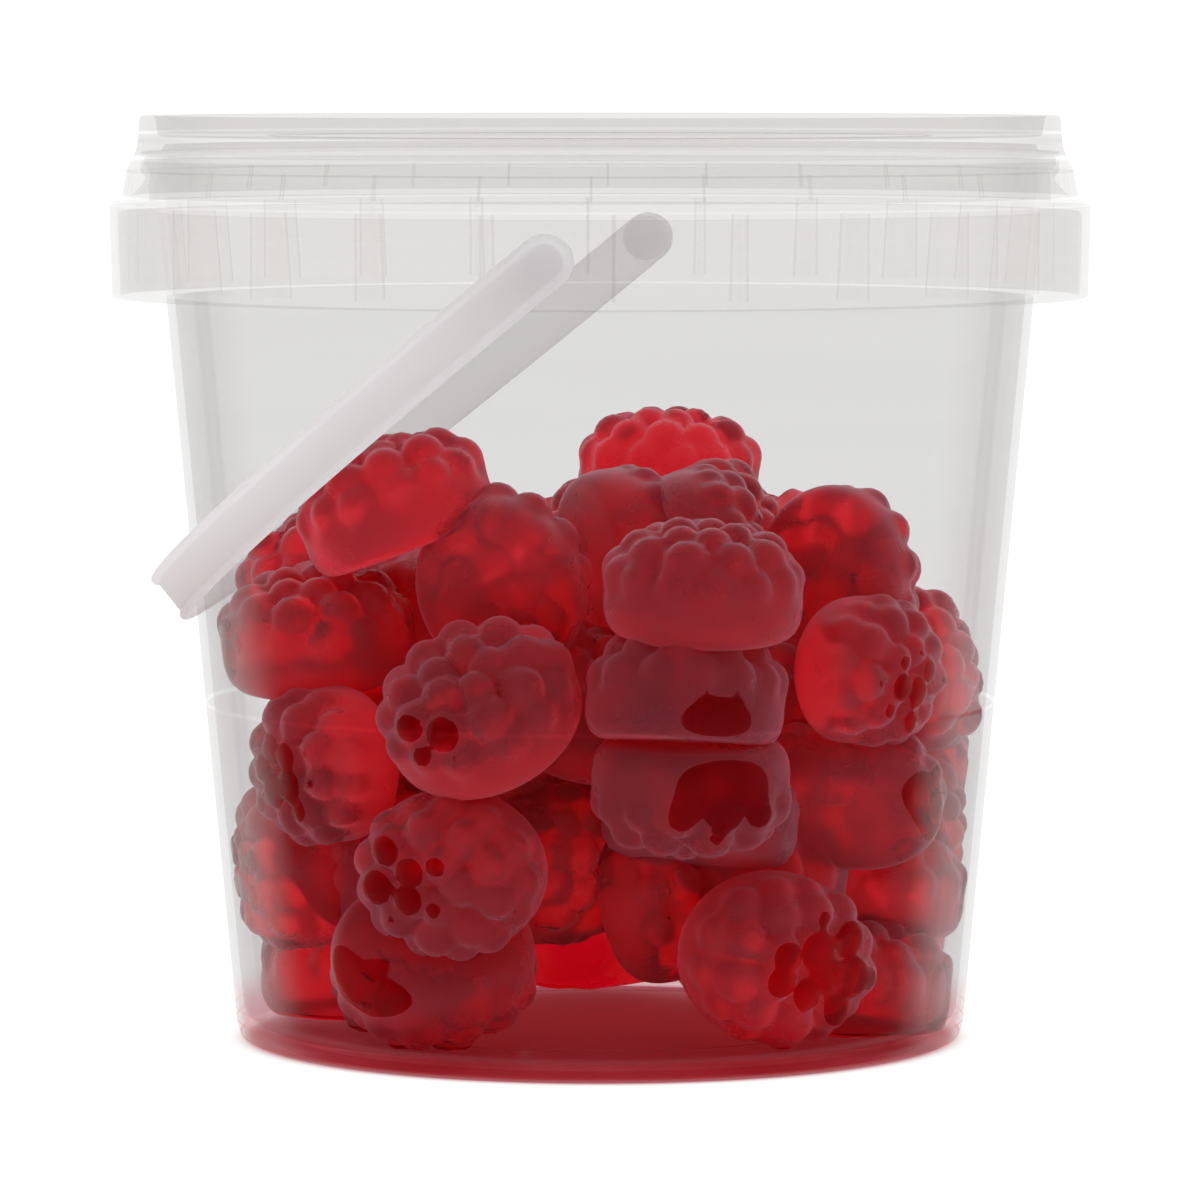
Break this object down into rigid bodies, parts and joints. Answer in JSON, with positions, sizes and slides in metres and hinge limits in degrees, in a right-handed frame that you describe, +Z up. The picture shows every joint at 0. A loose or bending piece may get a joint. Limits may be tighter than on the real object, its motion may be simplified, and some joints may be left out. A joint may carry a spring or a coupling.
{
  "type": "tub of berry-shaped gummy sweets",
  "caption": "Clear tapered plastic tub with a ribbed collar, push-on lid and swinging white bail handle, part filled with red berry-shaped gummy sweets.",
  "frame": {"origin": "centre of the foot ring's resting face, under the tub's axis", "axes": "+Z up the tub's axis, Y along the handle's pivot line, the handle hanging on the -X side"},
  "size_m": [0.1184, 0.1228, 0.1118],
  "materials": {
    "clear_plastic": "clear polypropylene, slightly milky, satin",
    "white_plastic": "opaque white polypropylene, satin",
    "red_gummy": "translucent red jelly with a soft matt skin"
  },
  "bodies": {
    "tub": {"tub": "clear_plastic", "lid": "clear_plastic", "gummy_heap": "red_gummy"},
    "handle": {"handle": "white_plastic"}
  },
  "joints": [
    {"name": "handle_swing", "type": "hinge", "parent": "tub", "child": "handle", "pos_m": [0, 0, 0.0957], "axis": [0, 1, 0], "range_deg": [0, 258.5]}
  ]
}
